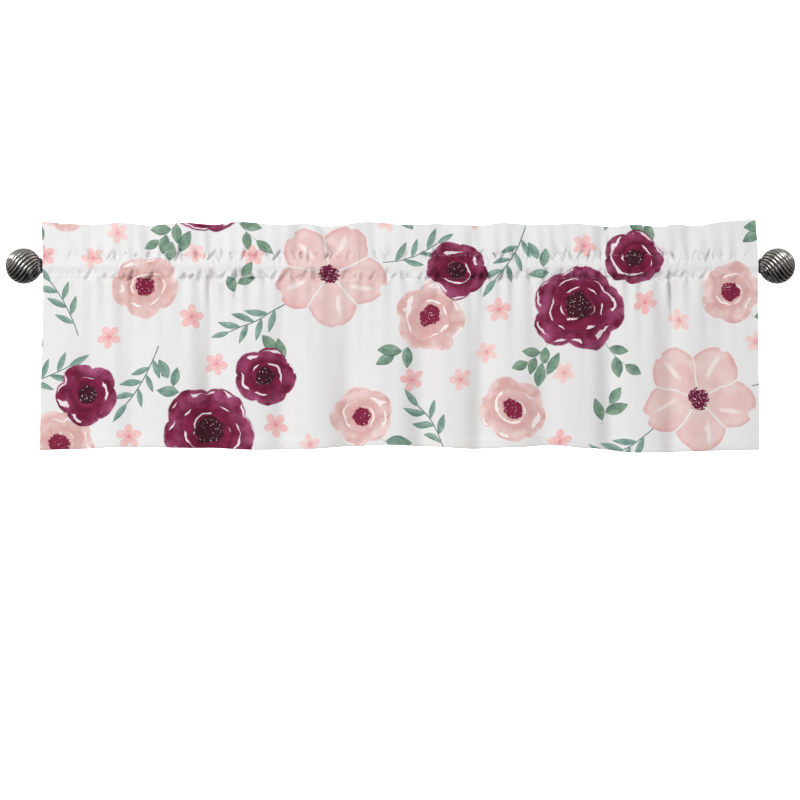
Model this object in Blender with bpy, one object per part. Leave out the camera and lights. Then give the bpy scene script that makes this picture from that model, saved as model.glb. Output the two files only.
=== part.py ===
"""Window valance with a rod pocket, gathered on a rod that ends in two ribbed ball finials.

Metres, +Z up, and the cloth's printed face looks along -Y. The origin is on the rod's axis, halfway
along the rod.
"""

import math
import random
from collections import namedtuple

import bmesh
import bpy
from mathutils import Vector

# Rod and finials
ROD_RADIUS = 0.0095
ROD_WALL = 0.0012
ROD_HALF_LENGTH = 0.6040
ROD_SIDES = 24
FIT_GAP = 0.0003
PLUG_LENGTH = 0.030
NECK_RADIUS = 0.0134
NECK_CHAMFER = 0.0008
NECK_LENGTH = 0.0036
BALL_RADIUS = 0.0305
BALL_RIBS = 18
BALL_RINGS = 15
RIB_POINTS = 4
RIB_HEIGHT = 0.0020
RIB_TWIST = 1.2  # turn round the rod's axis for each radian from pole to pole

# Cloth
THICKNESS = 0.0014
HEM_THICKNESS = 0.0024
HEM_HEIGHT = 0.018
HEM_STEP = 0.003
UPPER_STITCH = 0.0170
LOWER_STITCH = -0.0205
POCKET_SLACK = 0.0009  # between the rod and the inside of the pocket
HEADER_GAP = 0.0011  # half the space between the header's two layers
SEAM_LAP = 0.0015  # how far the two layers lie flat on each other next to a stitch line

# Gathers along the two stitch lines
SECTIONS = 96
SPACING_UNEVEN = 0.30
GATHER_DEPTH = (0.0011, 0.0028)
GATHER_SEED = 11
FLAT_ENDS = (0.10, 0.07)  # share of the width, left and right, where the gathers die out
END_STRENGTH = 0.2

# Half of the cloth's width at the top, at the pocket and at the hem, left and right
Side = namedtuple("Side", "top pocket hem")
LEFT_SIDE = Side(top=-0.6050, pocket=-0.6023, hem=-0.6080)
RIGHT_SIDE = Side(top=0.5990, pocket=0.6023, hem=0.6055)

# A fold is a valley that runs from a stitch line to the cloth's free edge
Fold = namedtuple("Fold", "at_stitch at_edge stitch_depth edge_depth width")
SKIRT_FOLDS = (
    Fold(at_stitch=-0.512, at_edge=-0.530, stitch_depth=0.003, edge_depth=0.007, width=0.026),
    Fold(at_stitch=-0.458, at_edge=-0.448, stitch_depth=0.006, edge_depth=0.008, width=0.022),
    Fold(at_stitch=-0.322, at_edge=-0.318, stitch_depth=0.006, edge_depth=0.019, width=0.021),
    Fold(at_stitch=-0.200, at_edge=-0.196, stitch_depth=0.004, edge_depth=0.012, width=0.023),
    Fold(at_stitch=-0.092, at_edge=-0.082, stitch_depth=0.005, edge_depth=0.018, width=0.031),
    Fold(at_stitch=0.033, at_edge=0.038, stitch_depth=0.005, edge_depth=0.015, width=0.023),
    Fold(at_stitch=0.140, at_edge=0.136, stitch_depth=0.004, edge_depth=0.014, width=0.021),
    Fold(at_stitch=0.238, at_edge=0.247, stitch_depth=0.004, edge_depth=0.010, width=0.025),
    Fold(at_stitch=0.348, at_edge=0.358, stitch_depth=0.007, edge_depth=0.014, width=0.021),
    Fold(at_stitch=0.452, at_edge=0.462, stitch_depth=0.009, edge_depth=0.011, width=0.018),
    Fold(at_stitch=0.530, at_edge=0.540, stitch_depth=0.002, edge_depth=0.006, width=0.026),
)
HEADER_FOLDS = (
    Fold(at_stitch=-0.515, at_edge=-0.510, stitch_depth=0.001, edge_depth=0.004, width=0.020),
    Fold(at_stitch=-0.418, at_edge=-0.422, stitch_depth=0.001, edge_depth=0.005, width=0.018),
    Fold(at_stitch=-0.306, at_edge=-0.312, stitch_depth=0.002, edge_depth=0.006, width=0.018),
    Fold(at_stitch=-0.176, at_edge=-0.166, stitch_depth=0.002, edge_depth=0.007, width=0.014),
    Fold(at_stitch=-0.098, at_edge=-0.132, stitch_depth=0.003, edge_depth=0.008, width=0.013),
    Fold(at_stitch=-0.046, at_edge=-0.040, stitch_depth=0.001, edge_depth=0.005, width=0.018),
    Fold(at_stitch=0.072, at_edge=0.078, stitch_depth=0.001, edge_depth=0.005, width=0.019),
    Fold(at_stitch=0.132, at_edge=0.134, stitch_depth=0.002, edge_depth=0.006, width=0.014),
    Fold(at_stitch=0.214, at_edge=0.208, stitch_depth=0.001, edge_depth=0.005, width=0.018),
    Fold(at_stitch=0.344, at_edge=0.346, stitch_depth=0.003, edge_depth=0.007, width=0.014),
    Fold(at_stitch=0.438, at_edge=0.424, stitch_depth=0.003, edge_depth=0.006, width=0.014),
    Fold(at_stitch=0.486, at_edge=0.490, stitch_depth=0.001, edge_depth=0.005, width=0.018),
)

# Height of the cloth's top fold and of its hem, across the width
Edge = namedtuple("Edge", "x z")
TOP_EDGE = (
    Edge(x=-0.605, z=0.0743), Edge(x=-0.522, z=0.0695), Edge(x=-0.472, z=0.0727),
    Edge(x=-0.420, z=0.0690), Edge(x=-0.362, z=0.0728), Edge(x=-0.312, z=0.0697),
    Edge(x=-0.270, z=0.0744), Edge(x=-0.194, z=0.0690), Edge(x=-0.158, z=0.0722),
    Edge(x=-0.122, z=0.0668), Edge(x=-0.050, z=0.0746), Edge(x=0.022, z=0.0692),
    Edge(x=0.068, z=0.0712), Edge(x=0.134, z=0.0686), Edge(x=0.176, z=0.0728),
    Edge(x=0.228, z=0.0694), Edge(x=0.300, z=0.0712), Edge(x=0.362, z=0.0664),
    Edge(x=0.400, z=0.0692), Edge(x=0.446, z=0.0662), Edge(x=0.466, z=0.0706),
    Edge(x=0.498, z=0.0678), Edge(x=0.560, z=0.0758), Edge(x=0.599, z=0.0776),
)
HEM_EDGE = (
    Edge(x=-0.608, z=-0.3110), Edge(x=-0.548, z=-0.3095), Edge(x=-0.456, z=-0.3058),
    Edge(x=-0.330, z=-0.3078), Edge(x=-0.232, z=-0.3108), Edge(x=-0.150, z=-0.3092),
    Edge(x=-0.085, z=-0.3056), Edge(x=-0.022, z=-0.3024), Edge(x=0.048, z=-0.3052),
    Edge(x=0.128, z=-0.3094), Edge(x=0.196, z=-0.3064), Edge(x=0.256, z=-0.3026),
    Edge(x=0.312, z=-0.3078), Edge(x=0.392, z=-0.3154), Edge(x=0.440, z=-0.3152),
    Edge(x=0.510, z=-0.3126), Edge(x=0.606, z=-0.3104),
)

# Heights at which a section has points
SKIRT_SHARES = (0.36, 0.60, 0.80, 0.93)  # from the hem up to the lower stitch line
POCKET_HEIGHTS = (-0.0145, -0.0070, 0.0, 0.0062, 0.0125)
HEADER_SHARES = (0.40, 0.80)  # from the upper stitch line up to the top fold

# How fast the gathers fade away from a stitch line
POCKET_FADE = 0.006
HEADER_FADE = 0.030
SKIRT_FADE = 0.055

# Colour, roughness and metallic value of each material
Finish = namedtuple("Finish", "colour roughness metallic")
CLOTH = Finish(colour=(0.83, 0.80, 0.80, 1.0), roughness=0.85, metallic=0.0)
STEEL = Finish(colour=(0.20, 0.19, 0.18, 1.0), roughness=0.35, metallic=1.0)
PEWTER = Finish(colour=(0.30, 0.28, 0.26, 1.0), roughness=0.28, metallic=1.0)


def smooth(t):
    """0 to 1 with level ends."""
    t = min(1.0, max(0.0, t))
    return t * t * (3 - 2 * t)


def mix(a, b, t):
    return a + (b - a) * t


def edge_height(edge, x):
    """Height of a wavy edge at x, with a smooth crest or trough at each of its points."""
    if x <= edge[0].x:
        return edge[0].z
    for left, right in zip(edge, edge[1:]):
        if x <= right.x:
            return mix(left.z, right.z, smooth((x - left.x) / (right.x - left.x)))
    return edge[-1].z


def fold_depth(folds, x, share):
    """How far back the folds push the cloth at x; share is 0 at the stitch line, 1 at the free edge."""
    depth = 0.0
    for fold in folds:
        middle = mix(fold.at_stitch, fold.at_edge, share)
        peak = mix(fold.stitch_depth, fold.edge_depth, smooth(share * 1.4))
        depth += peak * math.exp(-(((x - middle) / fold.width) ** 2))
    return depth


def mean_depth(folds, share):
    """The folds' depth spread over the width, which keeps the cloth hanging plumb."""
    area = sum(mix(f.stitch_depth, f.edge_depth, smooth(share * 1.4)) * f.width for f in folds)
    return area * math.sqrt(math.pi) / (RIGHT_SIDE.pocket - LEFT_SIDE.pocket)


def gathers():
    """(share of the width, push of the gather) for each section: crests and valleys take turns."""
    dice = random.Random(GATHER_SEED)
    steps = [1 + SPACING_UNEVEN * dice.uniform(-1, 1) for _ in range(SECTIONS - 1)]
    total = sum(steps)
    found, share = [], 0.0
    for index in range(SECTIONS):
        left = smooth(share / FLAT_ENDS[0])
        right = smooth((1 - share) / FLAT_ENDS[1])
        strength = mix(END_STRENGTH, 1.0, min(left, right))
        sign = -1 if index % 2 else 1
        found.append((share, sign * strength * dice.uniform(*GATHER_DEPTH)))
        if index < SECTIONS - 1:
            share += steps[index] / total
    return found


def side_at(side, z):
    """The x of the cloth's side edge at a height."""
    if z > UPPER_STITCH:
        return mix(side.pocket, side.top, smooth((z - UPPER_STITCH) / (TOP_EDGE[0].z - UPPER_STITCH)))
    if z > LOWER_STITCH:
        return side.pocket
    return mix(side.pocket, side.hem, smooth((z - LOWER_STITCH) / (HEM_EDGE[0].z - LOWER_STITCH)))


def pocket_half_depth(z):
    """From the pocket's middle to the middle of its front or back wall: snug over the rod's upper half,
    and rounder below it."""
    flat = THICKNESS / 2
    radius = ROD_RADIUS + POCKET_SLACK + flat
    if z <= 0:
        return mix(flat, radius, math.cos(math.pi / 2 * z / LOWER_STITCH))
    touch = radius * radius / UPPER_STITCH
    if z < touch:
        return math.sqrt(radius * radius - z * z)
    at_touch = math.sqrt(radius * radius - touch * touch)
    return mix(at_touch, flat, (z - touch) / (UPPER_STITCH - touch))


class Section:
    """One cut across the cloth. Each level has an outer front and back point, and inner ones where it
    is hollow."""

    def __init__(self, share, gather):
        self.share = share
        self.gather = gather
        middle_x = mix(LEFT_SIDE.pocket, RIGHT_SIDE.pocket, share)
        self.top = edge_height(TOP_EDGE, middle_x)
        self.hem = edge_height(HEM_EDGE, middle_x)

    def x_at(self, z):
        return mix(side_at(LEFT_SIDE, z), side_at(RIGHT_SIDE, z), self.share)

    def middle(self, z):
        """The y of the middle between the front and the back at a height."""
        x = self.x_at(z)
        if z >= UPPER_STITCH:
            share = (z - UPPER_STITCH) / (self.top - UPPER_STITCH)
            folds = fold_depth(HEADER_FOLDS, x, share) - mean_depth(HEADER_FOLDS, share)
            return self.gather * math.exp((UPPER_STITCH - z) / HEADER_FADE) + folds
        if z <= LOWER_STITCH:
            share = (z - LOWER_STITCH) / (self.hem - LOWER_STITCH)
            folds = fold_depth(SKIRT_FOLDS, x, share) - mean_depth(SKIRT_FOLDS, share)
            return self.gather * math.exp((z - LOWER_STITCH) / SKIRT_FADE) + folds * smooth(4 * share)
        near = min(UPPER_STITCH - z, z - LOWER_STITCH)
        return self.gather * math.exp(-((near / POCKET_FADE) ** 2))

    def point(self, z, offset):
        return Vector((self.x_at(z), self.middle(z) + offset, z))

    def outer(self):
        """(height, half of the whole thickness) for the levels from the hem to the top."""
        skirt_top = self.hem + HEM_HEIGHT + HEM_STEP
        levels = [(self.hem, HEM_THICKNESS / 2), (self.hem + HEM_HEIGHT, HEM_THICKNESS / 2)]
        levels += [(skirt_top, THICKNESS / 2)]
        levels += [(mix(skirt_top, LOWER_STITCH, share), THICKNESS / 2) for share in SKIRT_SHARES]
        levels += [(LOWER_STITCH, THICKNESS)]
        levels += [(z, pocket_half_depth(z) + THICKNESS / 2) for z in POCKET_HEIGHTS]
        levels += [(UPPER_STITCH, THICKNESS)]
        levels += [(z, THICKNESS + HEADER_GAP) for z in self.header_heights()]
        levels += [(self.top, THICKNESS * 0.6)]
        return levels

    def header_heights(self):
        return [mix(UPPER_STITCH, self.top, share) for share in HEADER_SHARES]

    def outer_loop(self):
        front = [self.point(z, -half) for z, half in self.outer()]
        back = [self.point(z, half) for z, half in self.outer()]
        return front + back[::-1]

    def hollow_loop(self, heights, half_depth, low, high):
        front = [self.point(z, -half_depth(z)) for z in heights]
        back = [self.point(z, half_depth(z)) for z in heights]
        return [self.point(low, 0.0)] + front + [self.point(high, 0.0)] + back[::-1]

    def pocket_loop(self):
        return self.hollow_loop(
            POCKET_HEIGHTS,
            lambda z: pocket_half_depth(z) - THICKNESS / 2,
            LOWER_STITCH + SEAM_LAP,
            UPPER_STITCH - SEAM_LAP,
        )

    def header_loop(self):
        return self.hollow_loop(
            self.header_heights(), lambda z: HEADER_GAP, UPPER_STITCH + SEAM_LAP, self.top - THICKNESS
        )


def sweep(mesh, loops):
    """Skins one loop of points through all sections and returns its vertices, section by section."""
    rings = [[mesh.verts.new(point) for point in loop] for loop in loops]
    count = len(rings[0])
    for ring, following in zip(rings, rings[1:]):
        for i in range(count):
            j = (i + 1) % count
            mesh.faces.new((ring[i], ring[j], following[j], following[i]))
    return rings


def hollow_cap(mesh, outer, hollow, first):
    """Closes a cloth end round one hollow. first is the outer level just under the hollow."""
    levels = len(outer) // 2
    inner_levels = (len(hollow) - 2) // 2
    low, high = hollow[0], hollow[inner_levels + 1]
    front = hollow[1 : inner_levels + 1]
    back = hollow[inner_levels + 2 :][::-1]
    outer_front = outer[first : first + inner_levels + 2]
    outer_back = [outer[2 * levels - 1 - level] for level in range(first, first + inner_levels + 2)]
    for outside, inside in ((outer_front, front), (outer_back, back)):
        line = [low] + inside + [high]
        for k in range(inner_levels + 1):
            mesh.faces.new((outside[k], outside[k + 1], line[k + 1], line[k]))
    mesh.faces.new((outer_front[0], low, outer_back[0]))
    mesh.faces.new((outer_front[-1], outer_back[-1], high))


def solid_cap(mesh, outer, first, last):
    """Closes a cloth end between two outer levels where it is solid."""
    top = len(outer) - 1
    for level in range(first, last):
        mesh.faces.new((outer[level], outer[level + 1], outer[top - level - 1], outer[top - level]))


def cloth_end(mesh, outer, pocket, header):
    lower_stitch = 3 + len(SKIRT_SHARES)
    upper_stitch = lower_stitch + len(POCKET_HEIGHTS) + 1
    solid_cap(mesh, outer, 0, lower_stitch)
    hollow_cap(mesh, outer, pocket, lower_stitch)
    hollow_cap(mesh, outer, header, upper_stitch)


def material(name, finish):
    made = bpy.data.materials.new(name)
    made.use_nodes = True
    shader = made.node_tree.nodes["Principled BSDF"]
    shader.inputs["Base Color"].default_value = finish.colour
    shader.inputs["Roughness"].default_value = finish.roughness
    shader.inputs["Metallic"].default_value = finish.metallic
    return made


def add_object(name, mesh, finish_material):
    """Turns a bmesh into a named object with its faces pointing out."""
    bmesh.ops.recalc_face_normals(mesh, faces=mesh.faces)
    data = bpy.data.meshes.new(name)
    mesh.to_mesh(data)
    mesh.free()
    data.shade_smooth()
    data.set_sharp_from_angle(angle=math.radians(40))
    data.materials.append(finish_material)
    made = bpy.data.objects.new(name, data)
    bpy.context.scene.collection.objects.link(made)
    return made


def build_valance(finish_material):
    sections = [Section(share, gather) for share, gather in gathers()]
    mesh = bmesh.new()
    outer = sweep(mesh, [section.outer_loop() for section in sections])
    pocket = sweep(mesh, [section.pocket_loop() for section in sections])
    header = sweep(mesh, [section.header_loop() for section in sections])
    for end in (0, -1):
        cloth_end(mesh, outer[end], pocket[end], header[end])
    return add_object("valance", mesh, finish_material)


def ring_points(x, radius, sides, turn=0.0):
    """Points round the rod's axis, at one x."""
    angles = [turn + 2 * math.pi * i / sides for i in range(sides)]
    return [Vector((x, radius * math.cos(a), radius * math.sin(a))) for a in angles]


def build_rod(finish_material):
    """A plain tube, open at both ends for the finials' plugs."""
    mesh = bmesh.new()
    ends = (-ROD_HALF_LENGTH, ROD_HALF_LENGTH)
    outer = sweep(mesh, [ring_points(x, ROD_RADIUS, ROD_SIDES) for x in ends])
    inner = sweep(mesh, [ring_points(x, ROD_RADIUS - ROD_WALL, ROD_SIDES) for x in ends])
    for outside, inside in zip(outer, inner):
        for i in range(ROD_SIDES):
            j = (i + 1) % ROD_SIDES
            mesh.faces.new((outside[i], outside[j], inside[j], inside[i]))
    return add_object("rod", mesh, finish_material)


def neck_face():
    """Distance of the neck's outer face, against the ball, from the rod's middle."""
    return ROD_HALF_LENGTH + FIT_GAP + NECK_LENGTH


def build_neck(name, side, finish_material):
    """A turned collar with a plug that fits inside the rod. side is -1 at the left, 1 at the right."""
    plug_radius = ROD_RADIUS - ROD_WALL - FIT_GAP
    inner_face = ROD_HALF_LENGTH + FIT_GAP
    profile = (
        (inner_face - PLUG_LENGTH, plug_radius - NECK_CHAMFER),
        (inner_face - PLUG_LENGTH + NECK_CHAMFER, plug_radius),
        (inner_face, plug_radius),
        (inner_face, NECK_RADIUS - NECK_CHAMFER),
        (inner_face + NECK_CHAMFER, NECK_RADIUS),
        (neck_face() - NECK_CHAMFER, NECK_RADIUS),
        (neck_face(), NECK_RADIUS - NECK_CHAMFER),
    )
    mesh = bmesh.new()
    rings = sweep(mesh, [ring_points(side * x, radius, ROD_SIDES) for x, radius in profile])
    mesh.faces.new(rings[0])
    mesh.faces.new(rings[-1])
    return add_object(name, mesh, finish_material)


def ball_ring(side, centre, latitude):
    """One ring of the ball, over its rounded ribs, which turn with the latitude."""
    height = RIB_HEIGHT * math.cos(latitude)
    count = RIB_POINTS * BALL_RIBS
    points = []
    for i in range(count):
        swell = abs(math.cos(math.pi * i / RIB_POINTS))
        radius = BALL_RADIUS - height * (1 - swell)
        angle = 2 * math.pi * i / count + RIB_TWIST * latitude
        across = radius * math.cos(latitude)
        x = side * (centre + radius * math.sin(latitude))
        points.append(Vector((x, -across * math.sin(angle), across * math.cos(angle))))
    return points


def build_ball(name, side, finish_material):
    """A ball with spiral ribs and a flat seat against the neck."""
    seat_radius = NECK_RADIUS - NECK_CHAMFER
    seat = neck_face() + FIT_GAP
    centre = seat + math.sqrt(BALL_RADIUS**2 - seat_radius**2)
    lowest = -math.acos(seat_radius / BALL_RADIUS)
    latitudes = [mix(lowest, math.pi / 2, i / BALL_RINGS) for i in range(BALL_RINGS)]
    mesh = bmesh.new()
    flat_seat = [
        Vector((side * seat, point.y, point.z)) for point in ball_ring(side, centre, latitudes[0])
    ]
    rings = sweep(mesh, [flat_seat] + [ball_ring(side, centre, lat) for lat in latitudes[1:]])
    mesh.faces.new(rings[0])
    pole = mesh.verts.new((side * (centre + BALL_RADIUS), 0, 0))
    last = rings[-1]
    for i, vertex in enumerate(last):
        mesh.faces.new((vertex, last[(i + 1) % len(last)], pole))
    return add_object(name, mesh, finish_material)


def clear_scene():
    for existing in list(bpy.data.objects):
        bpy.data.objects.remove(existing)


def main():
    clear_scene()
    cloth = material("printed_cloth", CLOTH)
    steel = material("rod_steel", STEEL)
    pewter = material("finial_pewter", PEWTER)
    build_valance(cloth)
    build_rod(steel)
    for word, side in (("left", -1), ("right", 1)):
        build_neck(f"finial_neck_{word}", side, pewter)
        build_ball(f"finial_ball_{word}", side, pewter)


main()
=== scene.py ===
"""Looks of the window valance: printed cloth, stitching, ribbed ball finials and the rod.

Metres, +Z up. The printed face looks along -Y and the origin is on the rod's axis, halfway along it.
Cloth coordinates are s, along the width, and v, down the cloth from its top fold.
"""

import math
import random
from collections import namedtuple

import bpy
import numpy as np
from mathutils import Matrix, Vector


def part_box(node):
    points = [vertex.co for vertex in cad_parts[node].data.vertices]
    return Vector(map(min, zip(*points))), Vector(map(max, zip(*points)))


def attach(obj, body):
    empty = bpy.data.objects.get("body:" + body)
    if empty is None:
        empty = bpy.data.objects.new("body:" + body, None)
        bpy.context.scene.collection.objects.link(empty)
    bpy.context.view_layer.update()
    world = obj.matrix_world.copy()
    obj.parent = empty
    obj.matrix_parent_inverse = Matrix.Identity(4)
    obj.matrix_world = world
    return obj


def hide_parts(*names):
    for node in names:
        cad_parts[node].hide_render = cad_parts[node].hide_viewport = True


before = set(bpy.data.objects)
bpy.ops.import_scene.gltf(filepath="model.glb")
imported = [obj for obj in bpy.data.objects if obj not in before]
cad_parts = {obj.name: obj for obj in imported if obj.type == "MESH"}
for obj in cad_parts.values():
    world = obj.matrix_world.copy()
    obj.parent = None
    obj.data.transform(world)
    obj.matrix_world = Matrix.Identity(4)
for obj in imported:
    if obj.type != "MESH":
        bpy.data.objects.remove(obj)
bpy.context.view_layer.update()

# Sizes that the solids have too
ROD_RADIUS = 0.0095
NECK_RADIUS = 0.0134
NECK_CHAMFER = 0.0008
BALL_RADIUS = 0.0305
BALL_RIBS = 18
RIB_TWIST = 1.2
FIT_GAP = 0.0003
HEM_HEIGHT = 0.018
UPPER_STITCH = 0.0170
LOWER_STITCH = -0.0205
WALL_RADIUS = 0.0111  # from the rod's axis to the middle of the pocket's wall

Side = namedtuple("Side", "top pocket hem")
LEFT_SIDE = Side(top=-0.6050, pocket=-0.6023, hem=-0.6080)
RIGHT_SIDE = Side(top=0.5990, pocket=0.6023, hem=0.6055)

Fold = namedtuple("Fold", "at_stitch at_edge stitch_depth edge_depth width")
SKIRT_FOLDS = (
    Fold(-0.512, -0.530, 0.003, 0.007, 0.026),
    Fold(-0.458, -0.448, 0.006, 0.008, 0.022),
    Fold(-0.322, -0.318, 0.006, 0.019, 0.021),
    Fold(-0.200, -0.196, 0.004, 0.012, 0.023),
    Fold(-0.092, -0.082, 0.005, 0.018, 0.031),
    Fold(0.033, 0.038, 0.005, 0.015, 0.023),
    Fold(0.140, 0.136, 0.004, 0.014, 0.021),
    Fold(0.238, 0.247, 0.004, 0.010, 0.025),
    Fold(0.348, 0.358, 0.007, 0.014, 0.021),
    Fold(0.452, 0.462, 0.009, 0.011, 0.018),
    Fold(0.530, 0.540, 0.002, 0.006, 0.026),
)
HEADER_FOLDS = (
    Fold(-0.515, -0.510, 0.001, 0.004, 0.020),
    Fold(-0.418, -0.422, 0.001, 0.005, 0.018),
    Fold(-0.306, -0.312, 0.002, 0.006, 0.018),
    Fold(-0.176, -0.166, 0.002, 0.007, 0.014),
    Fold(-0.098, -0.132, 0.003, 0.008, 0.013),
    Fold(-0.046, -0.040, 0.001, 0.005, 0.018),
    Fold(0.072, 0.078, 0.001, 0.005, 0.019),
    Fold(0.132, 0.134, 0.002, 0.006, 0.014),
    Fold(0.214, 0.208, 0.001, 0.005, 0.018),
    Fold(0.344, 0.346, 0.003, 0.007, 0.014),
    Fold(0.438, 0.424, 0.003, 0.006, 0.014),
    Fold(0.486, 0.490, 0.001, 0.005, 0.018),
)

Edge = namedtuple("Edge", "x z")
TOP_EDGE = (
    Edge(-0.605, 0.0743), Edge(-0.522, 0.0695), Edge(-0.472, 0.0727),
    Edge(-0.420, 0.0690), Edge(-0.362, 0.0728), Edge(-0.312, 0.0697),
    Edge(-0.270, 0.0744), Edge(-0.194, 0.0690), Edge(-0.158, 0.0722),
    Edge(-0.122, 0.0668), Edge(-0.050, 0.0746), Edge(0.022, 0.0692),
    Edge(0.068, 0.0712), Edge(0.134, 0.0686), Edge(0.176, 0.0728),
    Edge(0.228, 0.0694), Edge(0.300, 0.0712), Edge(0.362, 0.0664),
    Edge(0.400, 0.0692), Edge(0.446, 0.0662), Edge(0.466, 0.0706),
    Edge(0.498, 0.0678), Edge(0.560, 0.0758), Edge(0.599, 0.0776),
)
HEM_EDGE = (
    Edge(-0.608, -0.3110), Edge(-0.548, -0.3095), Edge(-0.456, -0.3058),
    Edge(-0.330, -0.3078), Edge(-0.232, -0.3108), Edge(-0.150, -0.3092),
    Edge(-0.085, -0.3056), Edge(-0.022, -0.3024), Edge(0.048, -0.3052),
    Edge(0.128, -0.3094), Edge(0.196, -0.3064), Edge(0.256, -0.3026),
    Edge(0.312, -0.3078), Edge(0.392, -0.3154), Edge(0.440, -0.3152),
    Edge(0.510, -0.3126), Edge(0.606, -0.3104),
)

# Gathers along the stitch lines, at the same places as on the solid
SECTIONS = 96
SPACING_UNEVEN = 0.30
GATHER_DEPTH = (0.0011, 0.0028)
GATHER_SEED = 11
FLAT_ENDS = (0.10, 0.07)
END_STRENGTH = 0.2
POCKET_FADE = 0.006
HEADER_FADE = 0.030
SKIRT_FADE = 0.055
SEAM_EASE = 0.004

# The thin sheet
CLOTH_THICKNESS = 0.0006
COLUMNS = 639
SKIRT_ROWS = 48
POCKET_ROWS = 36
HEADER_ROWS = 18
POCKET_BACK_ROWS = 12
REVERSE_ROWS = 30
REVERSE_STRIDE = 3
TURN_UNDER = 0.006  # below the lower stitch line, on the back
HEADER_PUFF = 0.0011
TOP_ROLL = 0.0012
HEM_ROLL = 0.0010

# How strongly the cloth is puckered along its width
Strength = namedtuple("Strength", "x amount")
PUCKER_STRENGTH = (
    Strength(-0.605, 0.15), Strength(-0.525, 0.40), Strength(-0.465, 0.90),
    Strength(-0.136, 1.00), Strength(-0.110, 0.60), Strength(0.033, 0.60),
    Strength(0.067, 1.00), Strength(0.168, 1.00), Strength(0.193, 0.60),
    Strength(0.261, 0.60), Strength(0.286, 0.90), Strength(0.506, 0.90),
    Strength(0.548, 0.20), Strength(0.600, 0.15),
)
PUCKER_SEED = 5
Pucker = namedtuple("Pucker", "x lean amount width reach")
# Each range is drawn from evenly; lean is the largest sideways run for each metre of height
Row = namedtuple("Row", "spacing amount width reach lean")
LOWER_ROW = Row((0.009, 0.021), (0.40, 1.2), (0.0062, 0.0125), (0.009, 0.022), 0.50)
UPPER_ROW = Row((0.006, 0.021), (0.20, 0.9), (0.0028, 0.0050), (0.006, 0.018), 0.80)
CROSS_ROW = Row((0.012, 0.034), (0.50, 1.1), (0.0028, 0.0046), (0.024, 0.044), 0.40)
FRONT_WALL = 0.0121  # from the rod's axis to the front wall between its wrinkles
CROSS_DEPTH = 0.0024
LOWER_SINK = 0.92  # share of the pocket's depth that a full pucker takes up
UPPER_SINK = 0.90
SKIRT_PUCKER = 0.0022
HEADER_PUCKER = 0.0038
SEAM_FORWARD = 0.0102  # how far the lower seam stands forward between its puckers
HEADER_FORWARD = 0.0094
SEAM_FADE = 0.080
PUCKER_FADE = 0.0090
SKIRT_REACH = 0.45  # how far the puckers reach below the lower seam, as a share of their reach above
LOWER_WANDER = 0.0024
UPPER_WANDER = 0.0022
BAND_SPACING = (0.013, 0.030)
BAND_DEPTH = 0.0006
RIPPLE = 0.0007
RIPPLE_SPACING = (0.0045, 0.0085)
RIPPLE_FADE = 0.009
WANDER_FADE = 0.006
ROW_MARGIN = 0.012  # from the cloth's sides to the outermost puckers
ROD_CLEAR = 0.0103

# Main creases, each a soft trough from its deep end to its shallow end
CREASE_SCALE = 2.6
Crease = namedtuple("Crease", "x z end_x end_z depth width")
CREASES = (
    Crease(0.4535, -0.0250, 0.462, -0.110, 0.0048, 0.0027),
    Crease(0.4520, -0.0200, 0.456, 0.0000, 0.0030, 0.0026),
    Crease(0.3470, -0.0210, 0.361, -0.052, 0.0030, 0.0030),
    Crease(-0.1022, 0.0150, -0.150, 0.066, 0.0034, 0.0040),
    Crease(0.3539, 0.0150, 0.350, 0.063, 0.0032, 0.0036),
    Crease(0.4434, 0.0180, 0.441, 0.046, 0.0032, 0.0030),
    Crease(0.4480, 0.0170, 0.456, 0.002, 0.0026, 0.0026),
    Crease(-0.3220, -0.0210, -0.322, -0.090, 0.0024, 0.0050),
    Crease(-0.4550, -0.0210, -0.452, -0.060, 0.0022, 0.0045),
    Crease(0.1400, -0.0210, 0.136, -0.070, 0.0022, 0.0045),
    Crease(-0.2480, -0.0210, -0.240, -0.055, 0.0020, 0.0040),
    Crease(0.0750, -0.0210, 0.080, -0.062, 0.0020, 0.0040),
)


def srgb(text):
    """A linear colour from six hex digits."""
    parts = [int(text[i : i + 2], 16) / 255 for i in (0, 2, 4)]
    return tuple(((c + 0.055) / 1.055) ** 2.4 if c > 0.04045 else c / 12.92 for c in parts) + (1.0,)


def smooth(t):
    t = np.clip(t, 0, 1)
    return t * t * (3 - 2 * t)


def mix(a, b, t):
    return a + (b - a) * t


def wave(points, values, at):
    """Values along a line, with a smooth crest or trough at each point."""
    points, values = np.array(points), np.array(values)
    index = np.clip(np.searchsorted(points, at) - 1, 0, len(points) - 2)
    share = (at - points[index]) / (points[index + 1] - points[index])
    return mix(values[index], values[index + 1], smooth(share))


def edge_height(edge, x):
    return wave([point.x for point in edge], [point.z for point in edge], x)


def fold_depth(folds, x, share):
    depth = 0.0
    area = 0.0
    for fold in folds:
        middle = mix(fold.at_stitch, fold.at_edge, share)
        peak = mix(fold.stitch_depth, fold.edge_depth, smooth(share * 1.4))
        depth = depth + peak * np.exp(-(((x - middle) / fold.width) ** 2))
        area = area + peak * fold.width
    return depth - area * math.sqrt(math.pi) / (RIGHT_SIDE.pocket - LEFT_SIDE.pocket)


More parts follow.
